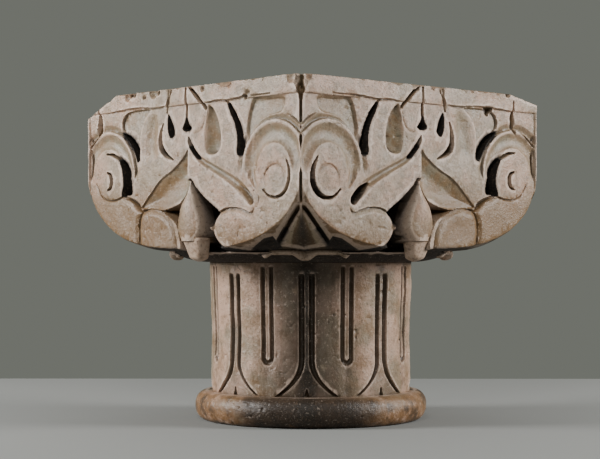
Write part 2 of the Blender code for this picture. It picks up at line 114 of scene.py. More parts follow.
# Double curl under each corner
CURL_SPAN = 0.0330
CURL_PAST_NECK = 0.0010
CURL_SEAT = 0.0015
CURL_FOOT = 0.0013
CURL_ARCH = 0.0046
CURL_THICKNESS = 0.0088
CURL_TIP_FOOT_DROP = 0.0028
CURL_TIP_TOP_DROP = 0.0030
CURL_MIDDLE_BACK = 0.0040
CURL_ENDS_BACK = 0.0100
CURL_CAPS_BACK = 0.0130
CURL_CAPS_SPAN = 1.08
CURL_RINGS = 65
CURL_POINTS = 20

# Carving on the drum
DRUM_LEAVES = 8
DRUM_GROOVE_DEPTH = 0.0042
DRUM_SLOT_DEPTH = 0.0038

# The faces are drawn in parts
PARTS_ACROSS = 320.0
PARTS_HIGH = 165.0
HALF = PARTS_ACROSS / 2
CENTRE_SHIFT = -3.0
NEAR_OFFSET = 2.2
PART = BLOCK_SIDE / PARTS_ACROSS
RISE = BLOCK_HEIGHT / PARTS_HIGH

# Plain band along the top of a face: its lower edge and its step, in parts
FASCIA_FOOT = 148.5
FASCIA_STEP = 1.8

# The faces are carved from this height up, in parts
CARVED_FROM = 9.0

# The corner carving runs from this turn off the middle of a face
CORNER_TURN = 0.35

# Unevenness left by hand cutting and wear, in metres
WAVE_DEPTH = 0.0011
RIPPLE_DEPTH = 0.0005
PIT_DEPTH = 0.0007
EDGE_WEAR = 0.0010
EDGE_LOSS = 0.0036

# The noise behind it repeats after this many cells
NOISE_CELLS = 32

# Reach of the notes that the material reads, in parts
PROUD_REACH = 3.2
SLIT_REACH = 2.4

# Points above this belong to the bed of the top, and faces above the next stay flat
BED_POINTS_FROM = TOP - 0.0003
BED_FACES_FROM = TOP - 0.0005

# Fineness of the mesh; the columns and rows are this many parts apart
CURVE_STEPS = 6
FACE_STEP = 0.8
TRIANGLES = 180000
SHARP_ANGLE = math.radians(38.0)

# Colours of the bare stone, and of painted light on the nose leaf, knobs and curls
PINK_BEIGE = (0.298, 0.178, 0.114)
WARM_GREY = (0.214, 0.156, 0.098)
PALE_BEIGE = (0.380, 0.258, 0.184)
BROWN_GREY = (0.150, 0.104, 0.062)
NOSE_PAINTED_HIGHLIGHT = (0.300, 0.235, 0.160)
DRUM_PINK = (0.480, 0.315, 0.230)
CLEAN_STONE_PAINTED_LIGHT = (0.420, 0.310, 0.235)
PALE_EDGE = (0.500, 0.380, 0.300)
PALE_SPECKLE = (0.520, 0.420, 0.340)

# Colours of stain and dirt, and of painted shade and painted shadow
PAINTED_HOLLOW_SHADE = (0.150, 0.135, 0.088)
OCHRE = (0.170, 0.088, 0.028)
LOBE_STAIN = (0.128, 0.066, 0.019)
SOFFIT_STAIN = (0.120, 0.066, 0.022)
SOFFIT_PAINTED_SHADE = (0.030, 0.020, 0.011)
SOFFIT_PAINTED_SHADOW = (0.012, 0.008, 0.006)
DRUM_STAIN = (0.160, 0.086, 0.030)
PAINTED_FRONT_SHADE = (0.018, 0.012, 0.008)
RING_BROWN = (0.150, 0.072, 0.022)
SOOT_AND_PAINTED_SHADE = (0.022, 0.014, 0.008)
NOSE_PAINTED_SHADE = (0.020, 0.014, 0.009)
DARK_CREASE = (0.050, 0.030, 0.014)
PORE = (0.095, 0.064, 0.040)
PAINTED_CUT_SHADE = (0.014, 0.010, 0.007)
SLIT_PAINTED_SHADE = (0.007, 0.005, 0.004)

# The floor reaches this far to the sides, back and front
FLOOR_SIDE = 2.5
FLOOR_BACK = 0.45
FLOOR_FRONT = 2.5

# The camera: where it stands, and the point in the axis plane at the middle of its picture
CAMERA_TURN = math.radians(47.3)
CAMERA_DISTANCE = 1.416
CAMERA_HEIGHT = 0.1406
AIM_RIGHT = -0.0096
AIM_HEIGHT = 0.1643
LENS = 97.1
SENSOR_WIDTH = 36.0

# Floor, air and lights; a light has a name, its place to the right, towards the camera and
# up, the side of its square, and its power
FLOOR_COLOUR = (0.185, 0.188, 0.178)
AIR_COLOUR = (0.76, 0.80, 0.70)
AIR_STRENGTH = 0.21
LIT_HEIGHT = 0.2
LIGHTS = (
    ("left_light", -1.35, 0.16, 0.60, 0.4, 36.0),
    ("right_light", 1.35, 0.16, 0.60, 0.4, 30.0),
    ("top_light", 0.0, -0.2, 1.9, 1.2, 7.0),
    ("front_light", -0.15, 1.35, 0.90, 0.3, 6.0),
)


def smooth_step(x):
    """Rise smoothly from 0 at x = 0 to 1 at x = 1."""
    x = np.clip(x, 0.0, 1.0)
    return x * x * (3.0 - 2.0 * x)


def through(knots, closed=False):
    """Smooth curve through the knots, as rows of the same columns."""
    knots = np.array(knots, dtype=float)
    count = len(knots)
    rows = []
    for i in range(count if closed else count - 1):
        if closed:
            a, b, c, d = (knots[(i + k) % count] for k in (-1, 0, 1, 2))
        else:
            a, b, c, d = (knots[min(max(i + k, 0), count - 1)] for k in (-1, 0, 1, 2))
        for k in range(CURVE_STEPS):
            t = k / CURVE_STEPS
            rows.append(0.5 * (2 * b + (c - a) * t + (2 * a - 5 * b + 4 * c - d) * t ** 2
                               + (3 * b - a - 3 * c + d) * t ** 3))
    if not closed:
        rows.append(knots[-1])
    return np.array(rows)


def segment_distance(u, v, start, end):
    """Distance to a straight segment, and how far along it the nearest point is."""
    du = end[0] - start[0]
    dv = end[1] - start[1]
    length = max(du * du + dv * dv, 1e-9)
    t = np.clip(((u - start[0]) * du + (v - start[1]) * dv) / length, 0.0, 1.0)
    return np.hypot(u - start[0] - t * du, v - start[1] - t * dv), t


def close_to(u, v, points, margin):
    """Where u, v is in the box round the points, widened by the margin."""
    low = points[:, :2].min(axis=0) - margin
    high = points[:, :2].max(axis=0) + margin
    return (u > low[0]) & (u < high[0]) & (v > low[1]) & (v < high[1])


def groove(u, v, knots, depth):
    """Depth of a groove along knots of (u, v, half width); it is shallow where it is narrow."""
    path = through(knots)
    widest = path[:, 2].max()
    cut = np.zeros(u.shape)
    where = close_to(u, v, path, widest)
    u = u[where]
    v = v[where]
    best = np.zeros(u.shape)
    for start, end in zip(path[:-1], path[1:]):
        distance, t = segment_distance(u, v, start, end)
        half = np.maximum(start[2] + t * (end[2] - start[2]), 0.3)
        shape = np.clip(1.0 - (distance / half) ** 2, 0.0, 1.0)
        best = np.maximum(best, shape * np.clip(half / widest, 0.0, 1.0) ** 0.5)
    cut[where] = best
    return depth * cut


def inside(u, v, knots):
    """Distance to a closed outline through knots of (u, v), positive inside it."""
    outline = through(knots, closed=True)
    result = np.full(u.shape, -99.0)
    where = close_to(u, v, outline, 12.0)
    u = u[where]
    v = v[where]
    distance = np.full(u.shape, 1e3)
    odd = np.zeros(u.shape, dtype=bool)
    for start, end in zip(outline, np.roll(outline, -1, axis=0)):
        distance = np.minimum(distance, segment_distance(u, v, start, end)[0])
        crosses = (start[1] > v) != (end[1] > v)
        level = end[1] - start[1]
        level = level if abs(level) > 1e-9 else 1e-9
        side = start[0] + (v - start[1]) * (end[0] - start[0]) / level
        odd ^= crosses & (u < side)
    result[where] = np.where(odd, distance, -distance)
    return result


def pocket(u, v, knots, depth, wall):
    """Depth of a pocket with sloping walls of the given width."""
    return depth * smooth_step(inside(u, v, knots) / wall)


def dome(u, v, middle, radius, low, high):
    """Depth over a round disc: low at its middle, high at its edge, nothing outside."""
    reach = np.hypot(u - middle[0], v - middle[1]) / radius
    return np.where(reach < 1.0, low + (high - low) * reach ** 2, 0.0)


def pillow(u, v, knots, deep, wall):
    """Depth inside an outline: deep at its edge, running out over the width of the wall."""
    within = inside(u, v, knots)
    near_edge = 1.0 - np.clip(within / wall, 0.0, 1.0)
    return deep * near_edge ** 2.0 * smooth_step(within / 1.6)


def deepest(*cuts):
    """The deepest of several cuts at each point."""
    cut = cuts[0]
    for other in cuts[1:]:
        cut = np.maximum(cut, other)
    return cut


def scroll(u, v, middle, eye, rim, outside):
    """Trough of a volute between its eye and its rim, with a step down outside the rim."""
    reach = np.hypot(u - middle[0], v - middle[1])
    share = np.clip((reach - eye) / (rim - eye), 0.0, 1.0)
    trough = 4.2 * (1.0 - (2.0 * share - 1.0) ** 2) + 1.6 * (1.0 - share) ** 2
    trough = trough * smooth_step((reach - eye) / 1.2)
    step = outside * smooth_step((reach - rim) / 1.4)
    step = step * (1.0 - smooth_step((reach - rim - 2.0) / 9.0))
    upper = smooth_step((v - middle[1] + 14.0) / 18.0) * smooth_step((152.0 - v) / 8.0)
    return (trough + step) * upper


def ring_line(u, v, middle, radius, deep):
    """Fine line round a disc."""
    reach = np.hypot(u - middle[0], v - middle[1])
    return deep * np.clip(1.0 - ((reach - radius) / 1.3) ** 2, 0.0, 1.0)


def near_half(u, v, lean):
    """Carving between the middle of a face and the front or back corner."""
    fascia = FASCIA_STEP * smooth_step((FASCIA_FOOT - v) / 1.2)
    line = groove(u, v, [(26, 147, 0.8), (44, 148, 1.4), (62, 147.5, 1.4), (90, 149.5, 1.2),
                         (118, 149.5, 0.6)], 2.8)
    bud = groove(u, v, [(3, 166, 1.0), (13, 157, 2.4), (27, 143, 2.2)], 7.0)
    scoop_rim = [(31, 146), (39, 141), (46, 129), (49, 115), (47, 104), (39, 99), (29, 100),
                 (24, 109), (23.5, 124), (27, 137)]
    # The scoop slopes gently away from the bud and ends at a steep wall
    slope = smooth_step((u - 23.0) / 22.0)
    scoop = pocket(u, v, scoop_rim, 7.0, 2.6) * slope + pocket(u, v, scoop_rim, 1.6, 8.0)
    bud_foot = groove(u, v, [(3, 123, 1.0), (12, 120, 1.8), (22, 125, 2.2), (27, 140, 1.6)], 2.6)
    slit = pocket(u, v, [(58, 146), (66, 140), (76, 127), (81, 112), (80, 99), (75, 96.5),
                         (71, 99), (71.5, 113), (68, 126), (62, 136)], 30.0, 1.8)
    slit_start = groove(u, v, [(54, 148, 0.8), (61, 144, 2.0), (70, 133, 2.6)], 6.0)
    # Panel between the slit, the fascia and the volute
    panel = pocket(u, v, [(93, 147), (112, 148), (136, 146), (131, 132), (108, 127), (93, 116),
                          (87, 108), (84, 122)], 2.6, 3.5)
    volute = scroll(u, v, (121, 84), 21.0, 42.0, 4.2)
    flank = groove(u, v, [(92, 108, 3.0), (89, 96, 6.0), (91, 80, 7.0), (97, 67, 3.0)], 4.6)
    crescent = np.where(
        lean > 0.0,
        groove(u, v, [(137, 91, 0.7), (140.5, 83, 1.7), (140.5, 73, 2.3), (135.5, 63, 2.2),
                      (126, 58, 1.8), (115, 59, 1.4), (106, 65, 0.8)], 7.0),
        groove(u, v, [(135, 93, 0.8), (140, 84, 2.4), (141.5, 73, 3.4), (137, 63, 3.2),
                      (127, 57.5, 2.2), (116, 58, 1.4), (107, 65, 0.9)], 16.0))
    disc = dome(u, v, (121, 80), 20.0, 1.8, 0.3)
    inner = ring_line(u, v, (122, 73), 13.5, 1.3)
    # Long waving channel between the two leaves, deepest at both ends
    channel = groove(u, v, [(0, 117, 1.8), (8, 106, 3.4), (20, 95, 4.4), (40, 86, 4.8),
                            (60, 77, 5.6), (76, 68, 6.6), (88, 58, 6.0), (91, 55, 4.5)], 5.4)
    start = groove(u, v, [(0, 117, 1.6), (6, 108, 3.0), (16, 97.5, 2.0)], 18.0)
    end = groove(u, v, [(70, 71, 2.0), (82, 63, 5.0), (90, 55, 4.2)],
                 8.0 * np.where(lean > 0.0, 1.0, 2.0))
    horn = groove(u, v, [(138, 131, 0.8), (148, 125, 2.2), (162, 114, 2.0)], 4.5)
    leaf_edge = pillow(u, v, [(4, 78), (10, 92), (28, 84), (52, 73), (72, 60), (84, 52), (62, 52),
                              (46, 46), (24, 62)], 2.6, 7.0)
    return deepest(fascia, line, bud, scoop + fascia, bud_foot, slit, slit_start, panel + fascia,
                   volute, flank, crescent, disc + inner, channel, start, end, horn, leaf_edge)


def far_half(u, v, lean):
    """Carving between the middle of a face and the left or right corner."""
    fascia = FASCIA_STEP * smooth_step((FASCIA_FOOT - v) / 1.2)
    line = groove(u, v, [(34, 148, 0.8), (50, 147, 1.4), (80, 149, 1.4), (112, 148, 1.2),
                         (128, 147, 0.8)], 2.8)
    bud = groove(u, v, [(23, 165, 0.8), (29, 152, 1.6), (32, 142, 1.8)], 3.4)
    slit = pocket(u, v, [(29, 141), (24, 134), (19.5, 124), (21.5, 119), (27, 118), (30.5, 125),
                         (31, 135)], 20.0, 2.0)
    curl = pillow(u, v, [(2, 112), (10, 120), (22, 116), (34, 128), (37, 116), (32, 104),
                         (20, 98), (8, 102)], 2.2, 9.0)
    crescent = groove(u, v, [(38, 132, 0.8), (42, 121, 2.6), (41, 110, 3.8), (34, 102.5, 3.0),
                             (22, 97, 0.8)], 14.0)
    # Gently dished leaf with a sharp outer edge, and the lower panel beyond it
    leaf = pocket(u, v, [(45, 140), (54, 146), (66, 137), (72, 124), (73, 104), (66, 96),
                         (48, 98), (43, 120)], 2.6, 14.0)
    panel = pocket(u, v, [(59, 147), (68.5, 137.5), (74.5, 125), (75.5, 110), (75, 100),
                          (79, 99), (86, 110), (94, 120), (104, 129), (106, 138), (98, 146),
                          (80, 148)], 2.8, 1.2)
    notch = pocket(u, v, [(84, 150), (100, 150), (93, 139)], 8.0, 3.0) * (lean < 0.0)
    long_slit = pocket(u, v, [(109, 127), (100, 126), (90, 121.5), (81, 113), (75, 102),
                              (76.5, 97.5), (82.5, 98), (88, 107), (95, 116), (103, 122.5)],
                       28.0, 1.8)
    slit_start = groove(u, v, [(124, 129, 0.8), (112, 127.5, 2.2), (100, 123, 3.4)], 6.5)
    volute = scroll(u, v, (129, 86), 25.0, 43.0, 4.4)
    deep = pocket(u, v, [(114, 104), (107, 102), (100, 96.5), (93, 86), (88.5, 74), (88.5, 66),
                         (97, 64.5), (107, 65), (104, 77), (106, 89), (110, 98)], 30.0, 2.0)
    deep_start = groove(u, v, [(132, 107, 0.8), (122, 106, 2.0), (112, 102, 2.6)], 8.0)
    under = groove(u, v, [(105, 64, 1.8), (116, 61, 1.6), (129, 61, 1.4), (141, 66, 1.2),
                          (149, 78, 0.8)], 4.2)
    ring = dome(u, v, (130, 84), 24.0, 2.0, 0.2)
    eye = groove(u, v, [(131, 88.5, 0.8), (125.5, 86, 2.2), (123.5, 80, 3.0), (125.5, 74, 2.4),
                        (131, 71, 0.8)], 13.0)
    # Hollow leaf under its bright ridge, and the dark wedge behind the stem
    hollow_rim = [(-4, 107), (9, 98), (25, 88), (44, 79), (58, 68), (68, 59), (74, 51.5),
                  (56, 50), (36, 49), (20, 52), (4, 57), (-7, 76)]
    hollow = pocket(u, v, hollow_rim, 3.5, 1.8) + pocket(u, v, hollow_rim, 4.2, 14.0)
    wedge = groove(u, v, [(103, 64.5, 0.8), (91, 60.5, 2.6), (80, 54.5, 4.2), (73, 48, 1.6)],
                   10.0)
    slot_place = u - 8.0 * lean
    corner_slot = groove(slot_place, v, [(136, 158, 0.9), (136, 149, 1.5), (135.5, 141, 4.0),
                                         (137, 132, 4.0), (141, 126, 1.4)],
                         10.0 + 3.0 * lean)
    horn = groove(u, v, [(122, 131, 0.8), (134, 131, 2.0), (148, 124, 2.0), (163, 112, 1.4)],
                  4.5)
    return deepest(fascia, line, bud, slit, curl, crescent, leaf + fascia, panel + fascia,
                   notch, long_slit, slit_start, volute, deep, deep_start, under, ring, eye,
                   hollow, wedge, corner_slot, horn)


def lower_lobes(u, v, far):
    """Rounded lobes along the bottom of a half face: the end lobe and the volute's stem."""
    near_rim = [(60, -12), (44, 14), (35, 24), (36, 36), (42, 45), (53, 50), (68, 51), (82, 48),
                (90, 46), (96, 52), (108, 57), (124, 54), (140, 58), (170, 62), (180, 20),
                (150, -12)]
    far_end = [(16, -12), (16, 18), (20, 32), (28, 42), (40, 49), (52, 52), (64, 52),
               (75, 48.5), (80.5, 36), (80, 16), (75, -12)]
    far_stem = [(73, -12), (78, 16), (79, 36), (74.5, 48), (84, 55), (95, 61), (107, 63.5),
                (124, 61), (142, 64), (170, 68), (180, 20), (150, -12)]
    near = pillow(u, v, near_rim, 5.6, 15.0) * (1.0 - smooth_step((u - 88.0) / 14.0))
    stem = pillow(u, v, far_stem, 4.6, 12.0) * (1.0 - smooth_step((u - 100.0) / 14.0))
    away = deepest(pillow(u, v, far_end, 6.0, 16.0), stem)
    return np.where(far, away, near)


def drop_form(p, v):
    """Distance from the line of the hanging drop, its half width, and the share of its height."""
    height = np.clip((v - 21.0) / 57.0, 0.0, 1.0)
    width = 17.0 * np.minimum(smooth_step((height + 0.30) / 0.50),
                              (1.0 - smooth_step((height - 0.20) / 0.82)) ** 0.75)
    side = np.abs(p + 1.6 - 2.0 * smooth_step((height - 0.5) / 0.5))
    return side, width, height


def middle(p, v, cut):
    """Bud pair at the top and the deep recess with its hanging drop; p grows to the near side."""
    cut = np.maximum(cut, groove(p, v, [(0, 167, 1.2), (-0.5, 150, 1.6), (-1, 136, 2.0)], 7.0))
    eye = [(-1, 138), (3, 130), (7, 125), (0, 122), (-8, 125), (-5, 131)]
    cut = np.maximum(cut, pocket(p, v, eye, 16.0, 2.4))
    lobes = pillow(p, v, [(-26, 168), (-29, 148), (-24, 136), (-16, 126), (-7, 130), (-1, 140),
                          (8, 128), (14, 124), (22, 132), (24, 145), (4, 168)], 2.4, 7.0)
    cut = np.maximum(cut, lobes)
    near_recess = [(3, 79), (14, 70), (28, 59), (46, 47), (40, 39), (34.5, 30), (36, 22),
                   (33, 8), (30, -6), (-6, -6), (-6, 60)]
    far_recess = [(3, 79), (6, 60), (6, -6), (-10, -6), (-12, 14), (-15, 28), (-22, 38),
                  (-38, 46), (-50, 50), (-36, 51), (-20, 55), (-12, 60), (-4, 72)]
    cut = np.maximum(cut, pocket(p, v, near_recess, 38.0, 5.0))
    cut = np.maximum(cut, pocket(p, v, far_recess, 30.0, 7.0))
    # The near lobe curves away towards the knob
    below = [(20, 36), (37, 30), (45, 20), (58, 14), (76, 8), (76, -8), (20, -8)]
    cut = np.maximum(cut, pocket(p, v, below, 16.0, 5.0))
    # The drop: widest low down, pointed at its top, flush with the face
    side, width, height = drop_form(p, v)
    share = np.clip(side / np.maximum(width, 0.5), 0.0, 1.0)
    drop = (0.2 + 5.0 * smooth_step((height - 0.5) / 0.5) + 3.0 * smooth_step(0.2 - height)
            + 6.5 * (1.0 - np.sqrt(1.0 - share ** 2)) + 34.0 * smooth_step((side - width) / 4.0)
            + 30.0 * smooth_step((20.0 - v) / 4.0) + 30.0 * smooth_step((v - 76.0) / 4.0))
    return np.where((side < 25.0) & (v > 14.0) & (v < 82.0), np.minimum(cut, drop), cut)


def from_middle(u, lean):
    """Place across a face counted from the middle of its carving to the near side."""
    return lean * (u - CENTRE_SHIFT * (1.0 - np.abs(u) / HALF)) - NEAR_OFFSET


def face_relief(u, v, lean):
    """Depth of the carving, in parts, at u across and v up one face; lean is the near side."""
    p = from_middle(u, lean)
    far = p < 0.0
    side = np.abs(p)
    cut = np.where(far, far_half(side, v, lean), near_half(side, v, lean))
    cut = np.maximum(cut, lower_lobes(side, v, far))
    cut = middle(p, v, cut)
    edge = smooth_step((HALF - 0.5 - np.abs(u)) / 3.0)
    return cut * edge * smooth_step((PARTS_HIGH - v) / 1.5)


def edge_damage(u, v, quarter):
    """Depth of the bites out of the two seen faces, in parts."""
    cut = np.zeros(u.shape)
    for face, across, height, radius, deep in CHIPS:
        distance = np.hypot(u - across, v - height) / radius
        bite = deep * np.clip(1.0 - distance ** 2, 0, 1)
        cut = np.maximum(cut, np.where(quarter == face, bite, 0.0))
    return cut


def corner_relief(t, v, near):
    """Depth at t from the diagonal, in parts: cleft, nose leaf, its grooves and soffit."""
    side = np.abs(t)
    broken = 2.4 * smooth_step((v - 138.0) / 20.0)
    width = np.where(near, 2.6 + broken, 1.5)
    deep = np.where(near, 8.0 + broken, 0.0)
    cleft = deep * np.clip(1.0 - (side / width) ** 2, 0.0, 1.0) * smooth_step((v - 50.0) / 6.0)
    # Nose leaf, keeled at the diagonal, between two grooves, with its lower edge hanging free
    width = nose_width(v)
    share = np.clip(side / np.maximum(width, 0.5), 0.0, 1.0)
    gap = (side - width) / 4.4
    nose = np.where(gap < 0.0, 1.0 + 6.5 * share ** 1.5, 0.0)
    nose = nose + np.where(gap < 0.0, 0.0, 15.0) * smooth_step((1.0 - gap) / 0.4)
    nose = nose * smooth_step(width / 5.0)
    edge = np.interp(side, (0.0, 23.0, 28.0, 36.0, 47.0, 60.0),
                     (12.0, 17.0, 24.0, 22.0, 14.0, 6.0))
    hollow = 17.0 * smooth_step((edge - v) / 3.0)
    return deepest(cleft, nose, hollow)


def nose_width(v):
    """Half width of the nose leaf at each height, in parts."""
    return np.clip((52.0 - v) * 0.66, 0.0, 23.0)


def drum_relief(angle, share):
    """Depth on the drum, in metres, by angle from a corner and share of the drum's height."""
    pitch = 2 * math.pi / DRUM_LEAVES
    beat = np.degrees(np.abs((angle + pitch / 2) % pitch - pitch / 2))
    # Pair of grooves beside each stem, which sweep apart at the foot
    flare = 2.8 + 14.0 * np.clip(1.0 - share / 0.27, 0.0, 1.0) ** 2.1
    breadth = 1.9 - 0.5 * smooth_step((0.2 - share) / 0.2)
    pair = np.clip(1.0 - ((beat - flare) / breadth) ** 2, 0.0, 1.0) ** 0.7
    pair = pair * smooth_step((0.93 - share) / 0.04) * smooth_step((share + 0.01) / 0.03)
    spandrel = 0.35 * smooth_step((flare - beat) / 1.5) * smooth_step((0.22 - share) / 0.05)
    opening = 0.3 + 26.0 * np.clip(0.07 - share, 0.0, 1.0)
    notch = 0.9 * np.clip(1.0 - (beat / opening) ** 2, 0, 1)
    notch = notch * smooth_step((0.07 - share) / 0.02)
    # Slot with a rib up its middle and a round foot
    gap = np.degrees(np.abs(angle % pitch - pitch / 2))
    slot = np.clip(1.0 - ((gap - 2.5) / 1.5) ** 2, 0.0, 1.0) ** 0.7
    slot = slot * smooth_step((share - 0.27) / 0.02)
    foot = np.abs(np.hypot(gap, np.minimum(share - 0.29, 0.0) * 62.0) - 2.5)
    foot = np.clip(1.0 - (foot / 1.5) ** 2, 0.0, 1.0) ** 0.7
    foot = foot * smooth_step((0.30 - share) / 0.02)
    slot = np.maximum(slot, foot) * smooth_step((0.98 - share) / 0.03)
    # Each leaf is a little rounder than the drum
    swell = 0.30 * (1.0 - np.sin(math.pi * np.clip(beat / 22.5, 0.0, 1.0)))
    grooves = np.maximum(np.maximum(pair, spandrel), notch)
    return np.maximum(np.maximum(DRUM_GROOVE_DEPTH * grooves, DRUM_SLOT_DEPTH * slot),
                      DRUM_GROOVE_DEPTH * swell)


def unevenness(points, cell, seed):
    """Smooth random values from 0 to 1 over space, in cells of the given size."""
    values = np.random.default_rng(seed).random((NOISE_CELLS, NOISE_CELLS, NOISE_CELLS))
    place = points / cell + 1000.0
    low = np.floor(place).astype(int)
    part = smooth_step(place - low)
    total = np.zeros(points.shape[:-1])
    for corner in range(8):
        step = np.array([corner & 1, corner >> 1 & 1, corner >> 2 & 1])
        at = (low + step) % NOISE_CELLS
        weight = np.prod(np.where(step == 1, part, 1.0 - part), axis=-1)
        total += weight * values[at[..., 0], at[..., 1], at[..., 2]]
    return total


def highest(field, reach):
    """Highest value of a field over a window of rows and of columns."""
    for axis in (0, 1):
        field = np.max([np.roll(field, k, axis) for k in range(-reach, reach + 1)], axis=0)
    return field


def spread(field, reach):
    """Mean of a field over a window of rows and of columns, which run round the stone."""
    for axis, mode in ((0, "edge"), (1, "wrap")):
        width = [(0, 0), (0, 0)]
        width[axis] = (reach + 1, reach)
        total = np.cumsum(np.pad(field, width, mode=mode), axis=axis)
        size = 2 * reach + 1
        length = total.shape[axis]
        above = np.take(total, range(size, length), axis=axis)
        below = np.take(total, range(0, length - size), axis=axis)
        field = (above - below) / size
    return field


def profile_rows():
    """Rows of (turned radius, height, share of the drum) from the underside to the top."""
    step = FACE_STEP * RISE
    rows = [(RING_BED_RADIUS * k / 4, 0.0, -1.0) for k in range(1, 5)]
    bulge = RING_RADIUS - RING_BED_RADIUS
    turns = int(RING_HEIGHT * 1.4 / step)
    for k in range(1, turns):
        a = math.pi * k / turns
        rows.append((RING_BED_RADIUS + bulge * math.sin(a) ** 0.8,
                     RING_HEIGHT * (1.0 - math.cos(a)) / 2, -1.0))
    count = int(DRUM_HEIGHT / step)
    for k in range(count + 1):
        share = k / count
        radius = np.interp(share, (0.0, 0.45, 1.0),
                           (DRUM_FOOT_RADIUS, DRUM_WAIST_RADIUS, DRUM_HEAD_RADIUS))
        rows.append((radius, RING_HEIGHT + DRUM_HEIGHT * share, share))
    count = int((BOWL_NECK_RADIUS - DRUM_HEAD_RADIUS) / step)
    for k in range(1, count + 1):
        share = k / count
        rows.append((DRUM_HEAD_RADIUS + (BOWL_NECK_RADIUS - DRUM_HEAD_RADIUS) * share,
                     BLOCK_BOTTOM + BOWL_NECK_RISE * share ** 2, -1.0))
    rest = BLOCK_HEIGHT - BOWL_NECK_RISE
    curved = BOWL_HEIGHT - BOWL_NECK_RISE
    count = int(rest / step)
    for k in range(1, count + 1):
        rise = rest * k / count
        share = np.clip(1.0 - rise / curved, 0.0, 1.0)
        radius = BOWL_NECK_RADIUS + (BLOCK_CORNER - BOWL_NECK_RADIUS) * math.sqrt(
            1.0 - share ** 2)
        rows.append((radius if rise < curved else BLOCK_SIDE,
                     BLOCK_BOTTOM + BOWL_NECK_RISE + rise, -1.0))
    return np.array(rows)


def hand_cut(points):
    """Depth of the unevenness and pitting that cutting by hand and wear left, in metres."""
    rough = WAVE_DEPTH * unevenness(points, 0.016, 1) + RIPPLE_DEPTH * unevenness(points, 0.005, 2)
    pits = smooth_step((unevenness(points, 0.0032, 3) - 0.80) / 0.15)
    worn = smooth_step((unevenness(points, 0.03, 4) - 0.35) / 0.4)
    return rough + PIT_DEPTH * pits * worn


def edge_wear(points, v):
    """How far the ragged upper edge has worn down, in metres."""
    ragged = unevenness(points, 0.011, 5) + 0.5 * unevenness(points, 0.004, 6)
    ragged = EDGE_WEAR * ragged + EDGE_LOSS * smooth_step((ragged - 0.76) / 0.5)
    return ragged * smooth_step((v - PARTS_HIGH + 9.0) / 9.0)


def paint_notes(cut, narrow_cut, p, off, v):
    """What the material reads: how proud a point stands, slits, and painted light and shade on the
    nose.
    """
    proud = spread(cut, max(int(PROUD_REACH / FACE_STEP), 1)) - cut
    # Where a narrow deep cut is near, other than on the drop, and less in the far recess
    side, width, _ = drop_form(p, v)
    slit = smooth_step((highest(narrow_cut, int(SLIT_REACH / FACE_STEP)) - 11.0) / 4.0)
    slit = slit * (1.0 - smooth_step((width + 2.0 - side) / 1.5) * smooth_step((v - 18.0) / 3.0))
    slit = slit * (1.0 - 0.75 * smooth_step((-p - 4.0) / 6.0) * (-p < 60.0) * (v < 62.0))
    # Painted shade down the middle of the nose leaf, above 0, and painted highlight on its sides,
    # below 0
    narrow = 1.0 - off / np.maximum(nose_width(v), 1.0)
    nose_painted_light_and_shade = (1.6 * smooth_step((narrow - 0.30) / 0.55) - 0.6) * smooth_step((50.0 - v) / 10.0)
    return proud, slit, nose_painted_light_and_shade * (narrow > 0.0)


def carved_points(rows, columns):
    """Points of the carved surface, one ring for each row, and their notes."""
    radius, height, share = (rows[:, k, None] for k in range(3))
    turn = np.tile(np.arctan(columns / HALF), 4)
    square = BLOCK_SIDE / 2 / np.cos(turn)
    reach = np.minimum(radius, square[None, :])
    flat = reach * np.cos(turn)
    u = reach * np.sin(turn)
    everywhere = np.ones_like(u)
    v = (height - BLOCK_BOTTOM) / RISE * everywhere
    quarter = np.repeat(np.arange(4), len(columns)) * everywhere
    lean = np.where(quarter % 2 == 0, 1.0, -1.0)
    across = u / PART
    carved = smooth_step((v - CARVED_FROM) / 3.0)
    depth = face_relief(across, v, lean) * PART * carved
    depth = np.maximum(depth, edge_damage(across, v, quarter) * PART)
    off = np.sqrt(0.5) * (flat - np.abs(u)) / PART
    corner = corner_relief(off, v, u * lean > 0.0) * PART * carved
    corner = np.where(np.abs(turn) > CORNER_TURN, corner, 0.0)
    under_nose = corner * (v < 30.0) * (off > nose_width(v))
    flat = flat - depth
    # Broken top corners
    which = (quarter + (u > 0)) % 4
    for index, (inwards, down) in ((0, LEFT_BREAK), (2, RIGHT_BREAK)):
        limit = BLOCK_CORNER - inwards * (1.0 - (TOP - height) / down)
        past = np.sqrt(0.5) * (flat + np.abs(u)) - corner - limit
        corner = corner + np.where((which == index) & (past > 0.0), past, 0.0)
    flat = flat - corner * np.sqrt(0.5)
    u = u - np.sign(u) * corner * np.sqrt(0.5)
    angle = quarter * math.pi / 2 - math.pi / 2
    x = flat * np.cos(angle) - u * np.sin(angle)
    y = flat * np.sin(angle) + u * np.cos(angle)
    around = np.arctan2(y, x)
    dig = drum_relief(around + math.pi / 4, np.clip(share, 0, 1))
    dig = np.where(share >= 0.0, dig, 0.0)
    points = np.stack([x, y, height * everywhere], axis=2)
    rough = hand_cut(points)
    points[..., :2] *= (1.0 - (dig + rough) / np.maximum(np.hypot(x, y), 0.01))[..., None]
    points[..., 2] -= edge_wear(points, v)
    # The flat bed inside the ragged upper edge
    bed = points[-1:] * (1.0 - BED_INSET / np.hypot(x, y)[-1:, :, None])
    bed[..., 2] = TOP
    notes = paint_notes(depth + corner + dig + rough, np.maximum(depth, under_nose) / PART,
                        from_middle(across, lean), off, v)
    notes = [np.concatenate([field, np.zeros((1, x.shape[1]))]) for field in notes]
    return np.concatenate([points, bed]), notes


